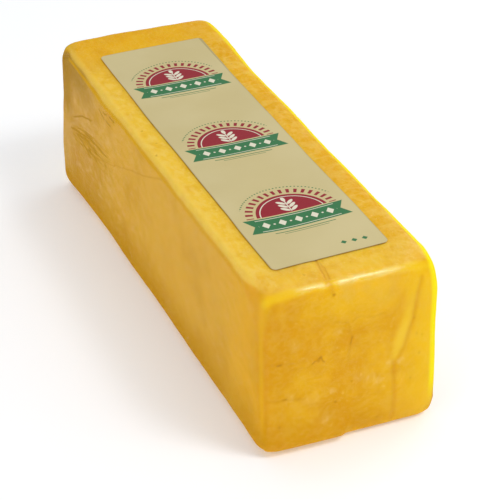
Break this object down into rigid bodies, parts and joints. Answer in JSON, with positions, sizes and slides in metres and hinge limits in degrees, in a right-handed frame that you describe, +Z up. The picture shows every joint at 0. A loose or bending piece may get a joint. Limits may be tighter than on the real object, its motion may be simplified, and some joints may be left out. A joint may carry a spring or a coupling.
{
  "type": "cheddar block",
  "caption": "Long rectangular block of orange-yellow cheddar shrunk tightly into clear film, with rounded edges and a narrow printed label lying along its top.",
  "frame": {"origin": "middle of the flat base", "axes": "+Z up, +Y back along the block's length, so the end that shows best looks along -Y, +X to the right"},
  "size_m": [0.0924, 0.2946, 0.0894],
  "materials": {
    "cheese": "orange-yellow cheese under clinging clear film, glossy",
    "label": "beige printed label, satin"
  },
  "bodies": {
    "root": {"cheddar_block": "cheese", "label": "label"}
  },
  "joints": []
}
